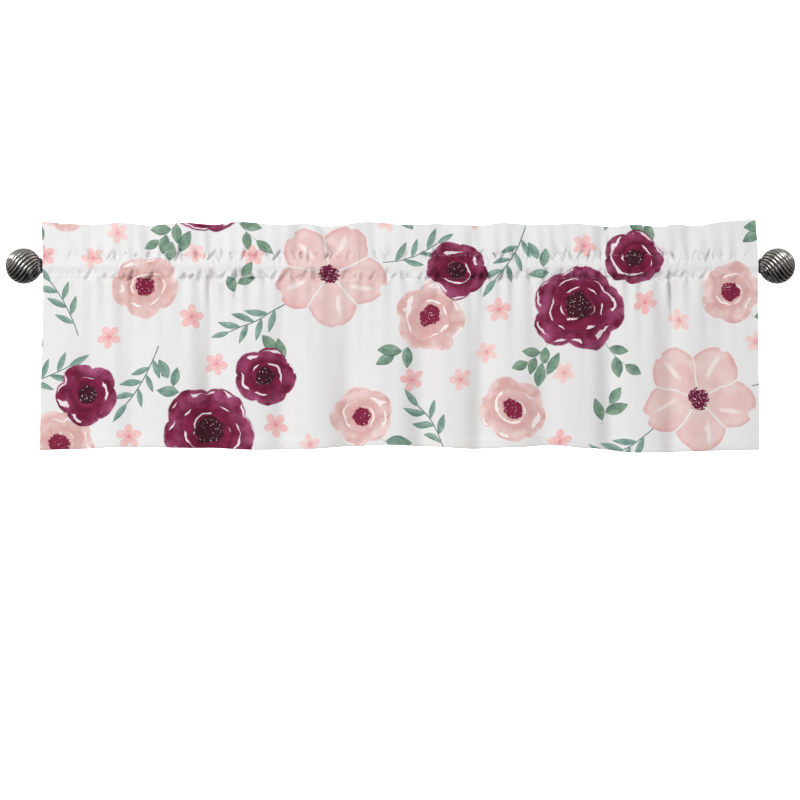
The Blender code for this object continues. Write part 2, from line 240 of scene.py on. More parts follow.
def gathers():
    """Share of the width and push of each gather."""
    dice = random.Random(GATHER_SEED)
    steps = [1 + SPACING_UNEVEN * dice.uniform(-1, 1) for _ in range(SECTIONS - 1)]
    total = sum(steps)
    shares, pushes, share = [], [], 0.0
    for index in range(SECTIONS):
        inward = min(smooth(share / FLAT_ENDS[0]), smooth((1 - share) / FLAT_ENDS[1]))
        strength = mix(END_STRENGTH, 1.0, inward)
        sign = -1 if index % 2 else 1
        shares.append(share)
        pushes.append(sign * strength * dice.uniform(*GATHER_DEPTH))
        if index < SECTIONS - 1:
            share += steps[index] / total
    return shares, pushes


GATHERS = gathers()


def side_at(side, z):
    up = smooth((z - UPPER_STITCH) / (TOP_EDGE[0].z - UPPER_STITCH))
    down = smooth((z - LOWER_STITCH) / (HEM_EDGE[0].z - LOWER_STITCH))
    return side.pocket + (side.top - side.pocket) * up + (side.hem - side.pocket) * down


def pocket_half_depth(z):
    """From the pocket's middle to its front or back wall."""
    flat = CLOTH_THICKNESS
    below = mix(flat, WALL_RADIUS, np.cos(np.pi / 2 * np.clip(z / LOWER_STITCH, 0, 1)))
    touch = WALL_RADIUS**2 / UPPER_STITCH
    circle = np.sqrt(np.clip(WALL_RADIUS**2 - z**2, 0, None))
    at_touch = math.sqrt(WALL_RADIUS**2 - touch**2)
    straight = mix(at_touch, flat, np.clip((z - touch) / (UPPER_STITCH - touch), 0, 1))
    return np.where(z <= 0, below, np.where(z < touch, circle, straight))


def strength_at(x):
    return np.interp(x, [point.x for point in PUCKER_STRENGTH], [point.amount for point in PUCKER_STRENGTH])


def puckers(row, seed):
    """Small valleys that start at a stitch line and narrow away from it."""
    dice = random.Random(seed)
    found, x, way = [], LEFT_SIDE.pocket + ROW_MARGIN, 1
    while x < RIGHT_SIDE.pocket - ROW_MARGIN:
        amount = strength_at(x) * dice.uniform(*row.amount)
        lean = way * dice.uniform(0.0, row.lean)
        found.append(Pucker(x, lean, amount, dice.uniform(*row.width), dice.uniform(*row.reach)))
        way = -way if dice.random() < 0.7 else way
        x += dice.uniform(*row.spacing)
    return found


LOWER_PUCKERS = puckers(LOWER_ROW, PUCKER_SEED)
UPPER_PUCKERS = puckers(UPPER_ROW, PUCKER_SEED + 1)
CROSS_PUCKERS = puckers(CROSS_ROW, PUCKER_SEED + 6)


def pucker_share(found, x, away):
    """0 where the cloth is smooth to 1 in a full pucker; away is the height above its stitch line."""
    total = np.zeros_like(x)
    for pucker in found:
        distance = np.clip(np.abs(away) / pucker.reach, 0, 1)
        width = pucker.width * (1.05 - 0.85 * distance)
        middle = pucker.x + pucker.lean * away
        inside = np.clip(1 - np.abs(x - middle) / width, 0, 1) ** 1.25
        total = total + pucker.amount * smooth(1.5 - 1.5 * distance) * inside
    return np.clip(total, 0, 1)


def crease_relief(x, z):
    relief = np.zeros_like(x)
    for crease in CREASES:
        run = (crease.end_x - crease.x, crease.end_z - crease.z)
        length = math.hypot(*run)
        along = ((x - crease.x) * run[0] + (z - crease.z) * run[1]) / length
        aside = ((x - crease.x) * run[1] - (z - crease.z) * run[0]) / length
        share = along / length
        fade = smooth(1 - share) * smooth(1 + along / 0.006)
        relief += CREASE_SCALE * crease.depth * fade * np.exp(-((np.abs(aside) / crease.width) ** 1.5))
    return relief


def mid_surface(share, x, z, top, hem):
    """The y of the middle between the cloth's front and back."""
    push = wave(*GATHERS, share)
    header = smooth((z - UPPER_STITCH) / SEAM_EASE)
    skirt = smooth((LOWER_STITCH - z) / SEAM_EASE)
    up = np.clip((z - UPPER_STITCH) / (top - UPPER_STITCH), 0, 1)
    down = np.clip((z - LOWER_STITCH) / (hem - LOWER_STITCH), 0, 1)
    near = np.minimum(UPPER_STITCH - z, z - LOWER_STITCH)
    pocket_fade = np.exp(-((np.clip(near, 0, None) / POCKET_FADE) ** 2))
    header_fade = np.exp(-np.clip(z - UPPER_STITCH, 0, None) / HEADER_FADE)
    skirt_fade = np.exp(-np.clip(LOWER_STITCH - z, 0, None) / SKIRT_FADE)
    fade = np.where(z > UPPER_STITCH, header_fade, np.where(z < LOWER_STITCH, skirt_fade, pocket_fade))
    y = push * fade
    y = y + np.where(z > UPPER_STITCH, fold_depth(HEADER_FOLDS, x, up), 0) * header
    y = y + np.where(z < LOWER_STITCH, fold_depth(SKIRT_FOLDS, x, down), 0) * skirt * smooth(4 * down)
    return y


def ripples(seed, spacing):
    """Fine waves across the cloth, from -1 to 1."""
    dice = random.Random(seed)
    places, values, x = [], [], LEFT_SIDE.hem
    while x < RIGHT_SIDE.hem:
        places.append(x)
        values.append(strength_at(x) * dice.uniform(0.3, 1.0) * (-1 if len(places) % 2 else 1))
        x += dice.uniform(*spacing)
    return places, values


LOWER_RIPPLES = ripples(PUCKER_SEED + 2, RIPPLE_SPACING)
UPPER_RIPPLES = ripples(PUCKER_SEED + 3, RIPPLE_SPACING)
SEAM_RIPPLES = ripples(PUCKER_SEED + 4, LOWER_ROW.spacing)
BANDS = ripples(PUCKER_SEED + 5, BAND_SPACING)


def lower_share(x, z):
    below = LOWER_STITCH - z
    return pucker_share(LOWER_PUCKERS, x, np.where(below > 0, -below / SKIRT_REACH, -below))


def upper_share(x, z):
    return pucker_share(UPPER_PUCKERS, x, z - UPPER_STITCH)


def relief(x, z):
    """How far the cloth lies towards the wall, on every layer that meets a stitch line."""
    below, above = LOWER_STITCH - z, z - UPPER_STITCH
    down, up = np.clip(below, 0, None), np.clip(above, 0, None)
    lower, upper = lower_share(x, z), upper_share(x, z)
    forward = mix(0.95, 1.0, strength_at(x))
    skirt = lower * SKIRT_PUCKER - SEAM_FORWARD * forward * (1 - lower) * np.exp(-down / SEAM_FADE)
    header = upper * HEADER_PUCKER - HEADER_FORWARD * forward * (1 - upper) * np.exp(-up / SEAM_FADE)
    y = skirt * np.exp(-((np.clip(-below, 0, None) / PUCKER_FADE) ** 2))
    y = y + header * np.exp(-((np.clip(-above, 0, None) / PUCKER_FADE) ** 2))
    y = y + RIPPLE * wave(*LOWER_RIPPLES, x) * np.exp(-((below / RIPPLE_FADE) ** 2))
    y = y + RIPPLE * wave(*UPPER_RIPPLES, x) * np.exp(-((above / RIPPLE_FADE) ** 2))
    return y + BAND_DEPTH * wave(*BANDS, x) * smooth(down / 0.020) * np.exp(-down / 0.30)


def seam_wander(x, z):
    """How far the stitch lines are pulled up or down, fading away from them."""
    lower = LOWER_WANDER * wave(*SEAM_RIPPLES, x) * np.exp(-(((z - LOWER_STITCH) / WANDER_FADE) ** 2))
    upper = UPPER_WANDER * wave(*SEAM_RIPPLES, -x) * np.exp(-(((z - UPPER_STITCH) / WANDER_FADE) ** 2))
    return lower + upper


def pocket_front(x, z):
    """From the pocket's middle to its puckered front wall."""
    full = pocket_half_depth(z) * FRONT_WALL / WALL_RADIUS
    near = np.minimum(np.abs(z - LOWER_STITCH), np.abs(UPPER_STITCH - z))
    full = full * (1 - mix(0.75, 0.30, strength_at(x)) * np.exp(-((near / PUCKER_FADE) ** 2)))
    across = smooth((UPPER_STITCH - z) / 0.008) * smooth((z - LOWER_STITCH) / 0.008)
    full = full - CROSS_DEPTH * across * pucker_share(CROSS_PUCKERS, x, z - UPPER_STITCH)
    return full * (1 - lower_share(x, z) * LOWER_SINK) * (1 - upper_share(x, z) * UPPER_SINK)


def eased(count, power):
    """Shares from 0 to 1, closer together near 1."""
    return [1 - (1 - i / count) ** power for i in range(count + 1)]


def section_rows(top, hem):
    """(height, offset, is front) of each row, from the hem's back edge up the front and down the back."""
    half = CLOTH_THICKNESS / 2
    rows = [(hem + HEM_HEIGHT, half, False)]
    rows += [(hem + HEM_HEIGHT * share, HEM_ROLL, False) for share in (1.0, 0.66, 0.33, 0.06)]
    rows.append((hem, 0.0, False))
    rows += [(hem + HEM_HEIGHT * share, -HEM_ROLL, True) for share in (0.06, 0.25, 0.5, 0.75, 0.92)]
    rows += [(hem + HEM_HEIGHT, -half, True)]
    start = hem + HEM_HEIGHT
    rows += [(mix(start, LOWER_STITCH, share), -half, True) for share in eased(SKIRT_ROWS, 1.5)[1:]]
    for share in [0.5 * t + 0.5 * t * t for t in np.linspace(0, 1, POCKET_ROWS + 2)[1:-1]]:
        rows.append((mix(LOWER_STITCH, UPPER_STITCH, share) + 0 * hem, -half, True))
    for share in [1 - s for s in eased(HEADER_ROWS, 1.5)[::-1]]:
        puff = CLOTH_THICKNESS + HEADER_PUFF * math.sin(math.pi * min(1.0, share * 1.02))
        rows.append((mix(UPPER_STITCH, top - TOP_ROLL, share), -puff, True))
    for angle in (40, 90, 140):
        a = math.radians(angle)
        rows.append((top - TOP_ROLL + TOP_ROLL * math.sin(a), -TOP_ROLL * math.cos(a) * 0.8, angle < 90))
    for share in (1.0, 0.8, 0.6, 0.42, 0.28, 0.19, 0.12, 0.07, 0.03, 0.0):
        puff = HEADER_PUFF * math.sin(math.pi * share) ** 0.6 if 0 < share < 1 else 0.0
        rows.append((mix(UPPER_STITCH, top - TOP_ROLL, share), CLOTH_THICKNESS + puff, False))
    for share in np.linspace(1, 0, POCKET_BACK_ROWS + 1)[1:]:
        z = mix(LOWER_STITCH, UPPER_STITCH, share)
        rows.append((z + 0 * hem, pocket_half_depth(np.array(z)) + half, False))
    for share in (0.25, 0.5, 0.75, 1.0):
        rows.append((LOWER_STITCH - TURN_UNDER * share + 0 * hem, CLOTH_THICKNESS * 1.5, False))
    rows.append((LOWER_STITCH - TURN_UNDER + 0 * hem, half, False))
    return rows


def place_rows(rows, shares, top, hem):
    """Points of the rows over the width, as an array of row, column and x, y, z."""
    points = []
    for z, offset, is_front in rows:
        x = mix(side_at(LEFT_SIDE, z), side_at(RIGHT_SIDE, z), shares)
        y = mid_surface(shares, x, z, top, hem) + relief(x, z) + offset
        in_pocket = (z > LOWER_STITCH) & (z < UPPER_STITCH)
        beside_rod = np.sqrt(np.clip(ROD_CLEAR**2 - z**2, 0, None))
        if is_front:
            y = y + crease_relief(x, z) - np.where(in_pocket, pocket_front(x, z), 0)
            y = np.where(in_pocket & (beside_rod > 0), np.minimum(y, -beside_rod), y)
        else:
            meets = np.exp(-((np.minimum(UPPER_STITCH - z, z - LOWER_STITCH).clip(0) / SEAM_EASE) ** 2))
            y = y + crease_relief(x, z) * meets
            y = np.where(in_pocket & (beside_rod > 0), np.maximum(y, beside_rod), y)
        z = z + seam_wander(x, z)
        points.append(np.stack([x, y, z + 0 * x], axis=1))
    return np.array(points)


def grid_faces(rows, columns, first):
    """Quads of a grid of points that starts at point number first."""
    row, column = np.meshgrid(np.arange(rows - 1), np.arange(columns - 1), indexing="ij")
    a = first + row * columns + column
    return np.stack([a, a + 1, a + columns + 1, a + columns], axis=-1).reshape(-1, 4)


def add_object(name, data):
    made = bpy.data.objects.new(name, data)
    bpy.context.scene.collection.objects.link(made)
    return made


def make_mesh(name, points, faces, materials, face_material=None):
    mesh = bpy.data.meshes.new(name)
    mesh.from_pydata(points.tolist(), [], faces if isinstance(faces, list) else faces.tolist())
    for material in materials:
        mesh.materials.append(material)
    if face_material is not None:
        mesh.polygons.foreach_set("material_index", face_material)
    mesh.shade_smooth()
    mesh.update()
    return add_object(name, mesh)


# Print: motifs in one repeat of the pattern, in cloth coordinates
REPEAT_WIDTH = 0.620
REPEAT_HEIGHT = 0.420
REPEAT_DROP = 0.210
PRINT_REACH = 16  # columns to each side over which the print is evened out
WEAVE_PITCH = 0.0007
REVERSE_FADE = 0.78
Kind = namedtuple("Kind", "layer number")
ROSE, WIDE_ROSE = Kind("rose", 0), Kind("rose", 1)
RANUNCULUS, BLOSSOM = Kind("bloom", 0), Kind("bloom", 1)

Flower = namedtuple("Flower", "kind s v radius turn")
FLOWERS = (
    Flower(WIDE_ROSE, 0.300, 0.150, 0.074, 20),
    Flower(ROSE, 0.095, 0.082, 0.051, 140),
    Flower(RANUNCULUS, 0.050, 0.166, 0.057, 80),
    Flower(BLOSSOM, 0.500, 0.300, 0.096, 12),
    Flower(RANUNCULUS, 0.190, 0.322, 0.054, 300),
    Flower(ROSE, 0.393, 0.058, 0.049, 250),
    Flower(RANUNCULUS, 0.556, 0.122, 0.050, 195),
)
Small = namedtuple("Small", "s v radius turn tint")
SMALL_FLOWERS = (
    Small(0.022, 0.030, 0.021, 10, 0.8),
    Small(0.166, 0.158, 0.022, 50, 0.6),
    Small(0.146, 0.228, 0.019, 31, 0.1),
    Small(0.398, 0.052, 0.020, 64, 0.2),
    Small(0.412, 0.140, 0.022, 15, 0.8),
    Small(0.470, 0.172, 0.019, 40, 0.1),
    Small(0.310, 0.038, 0.021, 5, 0.7),
    Small(0.275, 0.262, 0.019, 22, 0.1),
    Small(0.268, 0.378, 0.022, 58, 0.8),
    Small(0.102, 0.268, 0.020, 33, 0.3),
    Small(0.372, 0.268, 0.021, 47, 0.6),
    Small(0.604, 0.030, 0.020, 12, 0.4),
    Small(0.598, 0.208, 0.019, 61, 0.1),
    Small(0.130, 0.408, 0.021, 26, 0.7),
    Small(0.335, 0.412, 0.018, 70, 0.1),
    Small(0.020, 0.268, 0.021, 38, 0.9),
)
Sprig = namedtuple("Sprig", "s v heading length bend leaves leaf_length leaf_width tone")
SPRIGS = (
    Sprig(0.428, 0.352, 152, 0.108, 0.16, 7, 0.040, 0.14, 0.0),
    Sprig(0.590, 0.282, -22, 0.100, -0.16, 6, 0.039, 0.14, 0.1),
    Sprig(0.214, 0.004, 118, 0.112, 0.14, 7, 0.039, 0.15, 0.0),
    Sprig(0.078, 0.402, -118, 0.100, -0.18, 6, 0.038, 0.15, 0.1),
    Sprig(0.252, 0.204, 138, 0.050, 0.20, 4, 0.034, 0.27, 0.9),
    Sprig(0.346, 0.205, 48, 0.048, -0.20, 3, 0.037, 0.26, 0.8),
    Sprig(0.256, 0.092, -128, 0.040, 0.20, 3, 0.036, 0.25, 0.3),
    Sprig(0.018, 0.206, 140, 0.036, 0.20, 3, 0.040, 0.25, 0.6),
    Sprig(0.226, 0.284, -48, 0.032, -0.20, 2, 0.040, 0.24, 0.7),
    Sprig(0.440, 0.042, -140, 0.036, 0.20, 3, 0.040, 0.25, 0.9),
    Sprig(0.590, 0.162, 40, 0.034, 0.20, 2, 0.042, 0.27, 0.5),
    Sprig(0.338, 0.345, -68, 0.040, 0.18, 3, 0.038, 0.25, 0.8),
)

Motif = namedtuple("Motif", "s v heading length squeeze code")


def repeats():
    for column in range(-2, 3):
        for row in range(-3, 4):
            yield column * REPEAT_WIDTH, column * REPEAT_DROP + row * REPEAT_HEIGHT


def on_cloth(s, v):
    return abs(s) < 0.72 and -0.22 < v < 0.51


def place_motifs():
    """Every motif on the cloth, by layer. A code is a kind and a fraction that varies the motif."""
    dice = random.Random(21)
    layers = {"rose": [], "bloom": [], "small": [], "leaf": [], "side_leaf": [], "stem": []}
    for shift_s, shift_v in repeats():
        for flower in FLOWERS:
            s, v = flower.s + shift_s, flower.v + shift_v
            heading = math.radians(flower.turn)
            code = flower.kind.number + dice.uniform(0.05, 0.95)
            if on_cloth(s, v):
                layers[flower.kind.layer].append(Motif(s, v, heading, flower.radius, 1.0, code))
        for sprig in SPRIGS:
            s, v = sprig.s + shift_s, sprig.v + shift_v
            if on_cloth(s, v):
                add_sprig(layers, sprig, s, v, dice)
    for shift_s, shift_v in repeats():
        for small in SMALL_FLOWERS:
            s, v = small.s + shift_s, small.v + shift_v
            if on_cloth(s, v) and is_clear(layers, s, v, small.radius):
                layers["small"].append(Motif(s, v, math.radians(small.turn), small.radius, 1.0, small.tint))
    return layers


def is_clear(layers, s, v, radius):
    """Whether a small flower would miss the large flowers and the leaves."""
    for m in layers["rose"] + layers["bloom"]:
        if math.hypot(m.s - s, m.v - v) <= 0.95 * m.length + 0.8 * radius:
            return False
    for m in layers["leaf"] + layers["side_leaf"]:
        middle_s = m.s + m.length / 2 * math.cos(m.heading)
        middle_v = m.v + m.length / 2 * math.sin(m.heading)
        if math.hypot(middle_s - s, middle_v - v) <= 0.85 * radius + 0.008:
            return False
    return True


def add_sprig(layers, sprig, s, v, dice):
    """A bent stem with leaves on alternate sides and one at its tip."""
    heading = math.radians(sprig.heading)
    layers["stem"].append(Motif(s, v, heading, sprig.length, 0.5, sprig.bend))
    for index in range(sprig.leaves):
        is_tip = index == sprig.leaves - 1
        share = 1.0 if is_tip else 0.22 + 0.72 * index / (sprig.leaves - 1)
        side = 1 if index % 2 else -1
        lean = 0.0 if is_tip else side * math.radians(dice.uniform(34, 50))
        along, aside = share, sprig.bend * (share * share - share)
        slope = math.atan(sprig.bend * (2 * share - 1))
        leaf_s = s + sprig.length * (along * math.cos(heading) - aside * math.sin(heading))
        leaf_v = v + sprig.length * (along * math.sin(heading) + aside * math.cos(heading))
        length = sprig.leaf_length * dice.uniform(0.85, 1.08)
        tone = min(0.99, sprig.tone * 0.9 + dice.uniform(0, 0.09))
        width_code = int(round(sprig.leaf_width * 100))
        turn = heading + slope + lean
        layer = layers["side_leaf" if index % 2 else "leaf"]
        layer.append(Motif(leaf_s, leaf_v, turn, length, sprig.leaf_width, width_code + tone))


def motif_coordinates(layer, name, centres, corners):
    """Coordinates along and across the motif nearest to each face, at its corners, and the motif's code."""
    best = np.full(len(centres), np.inf)
    chosen = np.zeros(len(centres), dtype=int)
    for index, motif in enumerate(layer):
        near = np.abs(centres[:, 0] - motif.s) + np.abs(centres[:, 1] - motif.v) < 3 * motif.length + 0.05
        ds, dv = centres[near, 0] - motif.s, centres[near, 1] - motif.v
        p = (ds * math.cos(motif.heading) + dv * math.sin(motif.heading)) / motif.length
        q = (dv * math.cos(motif.heading) - ds * math.sin(motif.heading)) / motif.length
        if name in ("leaf", "side_leaf", "stem"):
            measure = np.hypot((p - 0.5) / 0.5, q / motif.squeeze)
        else:
            measure = np.hypot(p, q)
        ids = np.flatnonzero(near)
        closer = measure < best[ids]
        best[ids[closer]] = measure[closer]
        chosen[ids[closer]] = index
    table = np.array([(m.s, m.v, m.heading, m.length, m.code) for m in layer])[chosen][:, None, :]
    ds, dv = corners[..., 0] - table[..., 0], corners[..., 1] - table[..., 1]
    cosine, sine = np.cos(table[..., 2]), np.sin(table[..., 2])
    p = (ds * cosine + dv * sine) / table[..., 3]
    q = (dv * cosine - ds * sine) / table[..., 3]
    far = (best > 3.0)[:, None]
    return np.stack([np.where(far, 9.0, p), np.where(far, 9.0, q), table[..., 4] + 0 * p], axis=-1)


def add_vectors(mesh, name, domain, values):
    mesh.attributes.new(name, "FLOAT_VECTOR", domain).data.foreach_set("vector", values.reshape(-1))


class Term:
    """A number in a shader, so that formulas can be written as usual."""

    def __init__(self, tree, socket):
        self.tree = tree
        self.socket = socket

    def calc(self, operation, *others):
        node = self.tree.nodes.new("ShaderNodeMath")
        node.operation = operation
        for slot, value in zip(node.inputs, (self, *others)):
            if isinstance(value, Term):
                self.tree.links.new(value.socket, slot)
            else:
                slot.default_value = value
        return Term(self.tree, node.outputs[0])

    def __add__(self, other):
        return self.calc("ADD", other)

    def __sub__(self, other):
        return self.calc("SUBTRACT", other)

    def __mul__(self, other):
        return self.calc("MULTIPLY", other)

    def __truediv__(self, other):
        return self.calc("DIVIDE", other)

    def __rsub__(self, other):
        return self * -1 + other

    __radd__ = __add__
    __rmul__ = __mul__

    def power(self, other):
        return self.calc("POWER", other)

    def part(self):
        return self.calc("FRACT")

    def floor(self):
        return self.calc("FLOOR")

    def cos(self):
        return self.calc("COSINE")

    def sin(self):
        return self.calc("SINE")

    def size(self):
        return self.calc("ABSOLUTE")

    def least(self, other):
        return self.calc("MINIMUM", other)

    def most(self, other):
        return self.calc("MAXIMUM", other)

    def clamped(self):
        return self.most(0.0).least(1.0)

    def step(self, low, high):
        """0 below low, 1 above high, smooth between; the other way round if low is above high."""
        node = self.tree.nodes.new("ShaderNodeMapRange")
        node.interpolation_type = "SMOOTHSTEP"
        for slot, value in zip(node.inputs[:3], (self, low, high)):
            if isinstance(value, Term):
                self.tree.links.new(value.socket, slot)
            else:
                slot.default_value = value
        return Term(self.tree, node.outputs[0])


class Shader:
    """A material whose nodes are made by formulas."""

    def __init__(self, name, roughness, metallic=0.0):
        self.material = bpy.data.materials.new(name)
        self.material.use_nodes = True
        self.tree = self.material.node_tree
        self.surface = self.tree.nodes["Principled BSDF"]
        self.surface.inputs["Roughness"].default_value = roughness
        self.surface.inputs["Metallic"].default_value = metallic

    def attribute(self, name):
        node = self.tree.nodes.new("ShaderNodeAttribute")
        node.attribute_name = name
        return node.outputs["Vector"]

    def split(self, vector):
        node = self.tree.nodes.new("ShaderNodeSeparateXYZ")
        self.tree.links.new(vector, node.inputs[0])
        return [Term(self.tree, socket) for socket in node.outputs]

    def noise(self, vector, scale, detail=2.0):
        node = self.tree.nodes.new("ShaderNodeTexNoise")
        self.tree.links.new(vector, node.inputs["Vector"])
        node.inputs["Scale"].default_value = scale
        node.inputs["Detail"].default_value = detail
        return Term(self.tree, node.outputs[0]) - 0.5

    def cells(self, vector, scale):
        node = self.tree.nodes.new("ShaderNodeTexVoronoi")
        self.tree.links.new(vector, node.inputs["Vector"])
        node.inputs["Scale"].default_value = scale
        return Term(self.tree, node.outputs["Distance"])

    def blend(self, share, first, second):
        """A colour between two; each is a colour or a socket, and the share is a term or a number."""
        node = self.tree.nodes.new("ShaderNodeMix")
        node.data_type = "RGBA"
        if isinstance(share, Term):
            self.tree.links.new(share.socket, node.inputs[0])
        else:
            node.inputs[0].default_value = share
        for slot, value in ((node.inputs[6], first), (node.inputs[7], second)):
            if isinstance(value, tuple):
                slot.default_value = value
            else:
                self.tree.links.new(value, slot)
        return node.outputs[2]

    def colour(self, socket):
        self.tree.links.new(socket, self.surface.inputs["Base Color"])

    def bump(self, height, distance, strength):
        node = self.tree.nodes.new("ShaderNodeBump")
        self.tree.links.new(height.socket, node.inputs["Height"])
        node.inputs["Distance"].default_value = distance
        node.inputs["Strength"].default_value = strength
        self.tree.links.new(node.outputs[0], self.surface.inputs["Normal"])


def polar(p, q):
    radius = (p * p + q * q).power(0.5)
    return radius, q.calc("ARCTAN2", p)


def petal_axes(radius, angle):
    """Coordinates along and across the nearest of five petals."""
    sector = angle / (2 * math.pi / 5)
    off = ((sector + 0.5).part() - 0.5) * (2 * math.pi / 5)
    return radius * off.cos(), radius * off.sin(), (sector + 0.5).floor()


def paint_small(shader, ground, cloth):
    p, q, tint = shader.split(shader.attribute("small"))
    rough = shader.noise(cloth, 130.0)
    radius, angle = polar(p, q)
    along, across, index = petal_axes(radius, angle + rough * 0.12)
    varied = (index * 3.7 + tint * 20).sin()
    length = 0.40 + varied * 0.03
    shape = ((along - 0.56) / length).power(2) + (across / 0.315).power(2) + rough * 0.22
    gap = (along * 0.7265 - across.size()).step(0.015, 0.045).most(along.step(0.28, 0.16))
    cover = (shape.step(1.06, 0.86) * gap).most(radius.step(0.22, 0.16))
    rim = shape.step(0.50, 0.98)
    heart = radius.step(0.58, 0.08)
    wash = shader.noise(cloth, 80.0)
    depth = (heart * 0.65 + rim * 0.15 + tint * 0.40 + wash * 0.8).least(1.0).most(0.0)
    petals = shader.blend(depth, srgb("e9c8c3"), srgb("de8389"))
    veins = across.size().step(0.040, 0.012) * along.step(0.08, 0.2) * along.step(0.46, 0.26) * 0.6
    petals = shader.blend(veins, petals, srgb("ece0dc"))
    return shader.blend(cover * 0.93, ground, petals)


def paint_stems(shader, ground, cloth):
    p, q, bend = shader.split(shader.attribute("stem"))
    line = (q - bend * (p * p - p)).size() + shader.noise(cloth, 300.0) * 0.006
    cover = line.step(0.0120, 0.0050) * p.step(-0.005, 0.01) * p.step(1.02, 1.0)
    return shader.blend(cover * 0.9, ground, srgb("38635f"))


def paint_leaves(shader, ground, cloth, layer):
    p, q, code = shader.split(shader.attribute(layer))
    width = code.floor() / 100
    tone = code.part()
    rough = shader.noise(cloth, 160.0)
    bow = (p * math.pi).most(0.0).least(math.pi).sin().most(0.0001).power(0.85)
    half = width * bow * (1.15 - p * 0.3)
    share = q.size() / half.most(0.004) + rough * 0.12
    cover = share.step(1.06, 0.84) * p.step(0.0, 0.03) * p.step(1.0, 0.97)
    wash = (shader.noise(cloth, 75.0) * 1.5 + 0.5 + (q / width) * 0.30).clamped()
    teal = shader.blend(wash, srgb("4e7870"), srgb("93b1a4"))
    green = shader.blend(wash, srgb("3e644a"), srgb("8ca88f"))
    leaf = shader.blend(tone, teal, green)
    dark = shader.blend(tone, srgb("2c565a"), srgb("29543c"))
    outline = share.step(0.62, 0.95) * 0.55
    rib = (q.size() / width).step(0.10, 0.02) * 0.40
    leaf = shader.blend(outline.most(rib), leaf, dark)
    return shader.blend(cover * 0.96, ground, leaf)


def paint_rose(shader, cloth, p, q, seed, colours, turns, stroke_width):
    """A wound flower: its petals are the turns of a spiral. Returns its cover and its colour."""
    dark, middle, light, centre, highlight = colours
    broad = shader.noise(cloth, 38.0)
    rough = shader.noise(cloth, 85.0)
    fine = shader.noise(cloth, 260.0)
    radius, angle = polar(p, q)
    lobes = (angle * 2.5 + seed * 9).sin().size().power(0.6) * 0.15
    drift = (angle * 2 + seed * 17).cos() * 0.03
    reach = radius + broad * 0.14 + drift - lobes * radius.step(0.62, 0.95) + 0.04 * radius.step(0.5, 0.9)
    cover = reach.step(0.945, 0.905)
    spiral = reach * turns - angle / (2 * math.pi) + seed + broad * 0.5
    turn = spiral.part()
    is_outer = reach.step(0.60, 0.85)
    tone = (turn.power(1.5) * 0.65 + rough * 1.5 + broad * 1.2 + reach * 0.15).clamped()
    body = shader.blend(tone, dark, middle)
    pale = (reach.step(0.50, 1.0) * (broad * 3.0 + 0.40)).most(0.0).least(0.80)
    body = shader.blend(pale, body, light)
    width = (shader.noise(cloth, 40.0, 0.0) * 1.5 + stroke_width - is_outer * 0.05).most(0.0).least(0.20)
    stroke = (turn + width).step(0.985, 1.03) * turn.step(1.0, 0.965) * reach.step(0.26, 0.36)
    body = shader.blend((stroke * 0.95).least(1.0), body, highlight)
    core_reach = radius + rough * 0.16 + fine * 0.14
    heart = core_reach.step(0.335, 0.285)
    specks = shader.cells(cloth, 300.0).step(0.30, 0.18) * fine.step(-0.02, 0.06)
    core = shader.blend(specks * 0.85, centre, highlight)
    return cover, shader.blend(heart, body, core)


def paint_blossom(shader, cloth, p, q, seed):
    rough = shader.noise(cloth, 42.0)
    fine = shader.noise(cloth, 200.0)
    radius, angle = polar(p, q)
    along, across, index = petal_axes(radius, angle + rough * 0.16)
    varied = (index * 2.4 + seed * 11).sin()
    length = 0.455 + varied * 0.045
    shape = ((along - 0.53) / length).power(2) + (across / 0.43).power(2) + rough * 0.20
    gap = (along * 0.7265 - across.size()).step(0.008, 0.030)
    notch_across = across - varied * 0.10
    notch = ((along - 1.02) * (along - 1.02) + notch_across * notch_across).power(0.5).step(0.12, 0.08)
    cover = shape.step(1.04, 0.95) * (1.0 - notch) * gap
    rim = shape.step(0.60, 0.98)
    wash = (rim * 0.60 + rough * 0.9 + shader.noise(cloth, 24.0) * 1.2 + 0.32).clamped()
    petals = shader.blend(wash, srgb("e0cac6"), srgb("d5a5a3"))
    glow_along = ((along - 0.60) / 0.26).power(2)
    glow_across = ((across - varied * 0.13) / 0.060).power(2)
    glow = (glow_along + glow_across + rough * 1.2).step(1.0, 0.1) * 0.75
    petals = shader.blend(glow, petals, srgb("e9e1de"))
    crown = radius + fine * 0.20 + rough * 0.12
    cluster = crown.step(0.185, 0.165) * shader.cells(cloth, 260.0).step(0.20, 0.30)
    grains = (shader.cells(cloth, 235.0) + crown.step(0.17, 0.26) * 2).step(0.50, 0.40)
    dots = cluster.most(grains)
    petals = shader.blend(dots, petals, srgb("681539"))
    return cover.most(dots), petals


def paint_flowers(shader, ground, cloth):
    burgundy = (srgb("5f092b"), srgb("871c4b"), srgb("ab5c83"), srgb("390519"), srgb("e6d8de"))
    pink = (srgb("cfa09c"), srgb("d7bab6"), srgb("ead6d3"), srgb("7b173a"), srgb("ede5e2"))
    p, q, code = shader.split(shader.attribute("bloom"))
    kind, seed = code.floor(), code.part()
    cover, colour = paint_rose(shader, cloth, p, q, seed, pink, 2.8, 0.09)
    ground = shader.blend(cover * (1.0 - kind), ground, colour)
    cover, colour = paint_blossom(shader, cloth, p, q, seed)
    ground = shader.blend(cover * kind, ground, colour)
    p, q, code = shader.split(shader.attribute("rose"))
    kind, seed = code.floor(), code.part()
    cover, colour = paint_rose(shader, cloth, p, q, seed, burgundy, kind * 1.6 + 2.8, 0.10)
    return shader.blend(cover, ground, colour)


